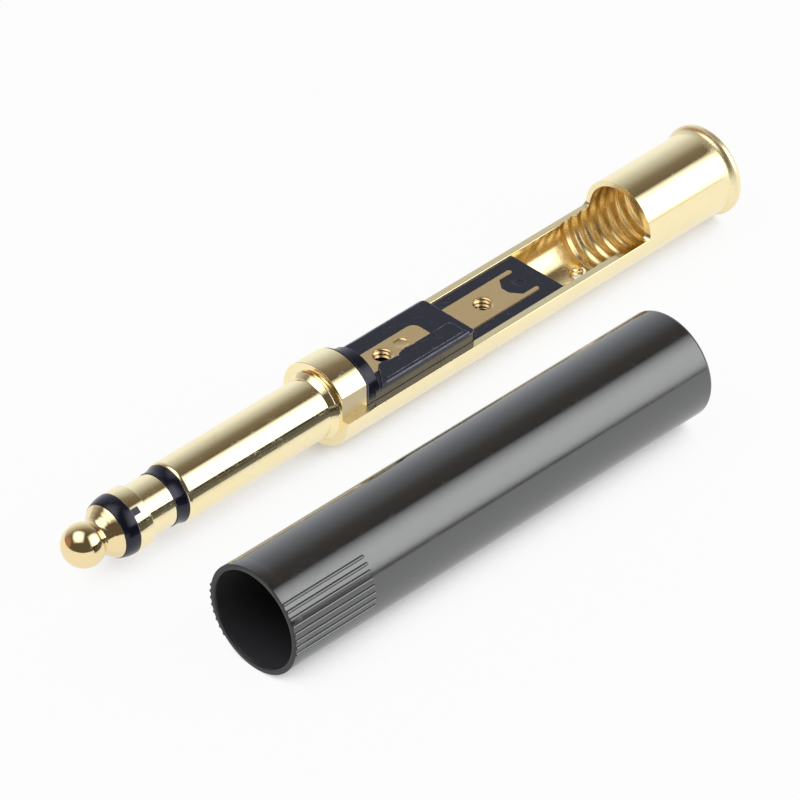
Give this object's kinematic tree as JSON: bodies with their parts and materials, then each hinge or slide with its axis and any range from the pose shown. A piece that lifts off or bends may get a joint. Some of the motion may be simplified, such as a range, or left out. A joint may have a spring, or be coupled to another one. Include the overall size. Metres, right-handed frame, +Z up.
{
  "type": "bantam plug",
  "caption": "Slim gold-plated bantam patch plug with an open half-tube body and screw terminals, its ribbed black handle tube lying beside it.",
  "frame": {"origin": "on the plug's axis, at the shoulder where the barrel ends", "axes": "+X along the plug from tip to cable end (the axis rises 0.46 degrees, as the plug rests on its collar and rear flange), +Z up, the handle on the -Y side"},
  "size_m": [0.0606, 0.0215, 0.0078],
  "materials": {
    "gold_plate": "polished gold plate on turned brass",
    "terminal_gold": "satin gold plate on stamped brass",
    "insulator_black": "glossy blue-black moulded plastic",
    "handle_plastic": "semi-gloss dark grey extruded and moulded plastic"
  },
  "bodies": {
    "root": {"tip_contact": "gold_plate", "ring_contact": "gold_plate", "shell": "gold_plate", "ring_terminal": "terminal_gold", "tip_terminal": "terminal_gold", "inner_insulating_tube": "insulator_black", "outer_insulating_tube": "insulator_black", "front_insulator": "insulator_black", "rear_insulator": "insulator_black", "terminal_block": "insulator_black", "handle": "handle_plastic"}
  },
  "joints": []
}
